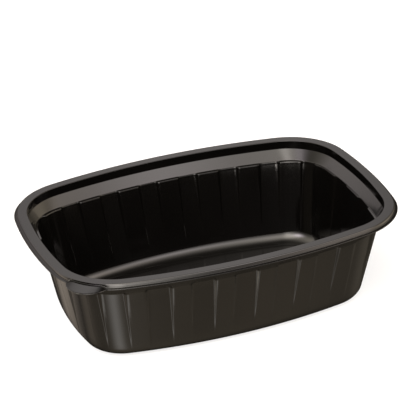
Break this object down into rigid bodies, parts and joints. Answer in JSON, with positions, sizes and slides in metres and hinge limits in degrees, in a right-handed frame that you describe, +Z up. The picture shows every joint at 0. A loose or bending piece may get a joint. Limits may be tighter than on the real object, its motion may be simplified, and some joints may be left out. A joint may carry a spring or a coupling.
{
  "type": "rectangular plastic food container",
  "caption": "Open rectangular takeaway container in thin black plastic, with bowed sides, fluted tapering walls, a stepped rim and an opening tab on one corner.",
  "frame": {"origin": "centre of the underside of the base, on the surface the container stands on", "axes": "+Z up out of the open top, X along the length, -Y towards the long wall that the picture shows from outside; the tab is on the -X -Y corner"},
  "size_m": [0.222, 0.1608, 0.0625],
  "materials": {
    "black_plastic": "glossy black polypropylene, smooth, with a slightly warm sheen"
  },
  "bodies": {
    "root": {"container": "black_plastic"}
  },
  "joints": []
}
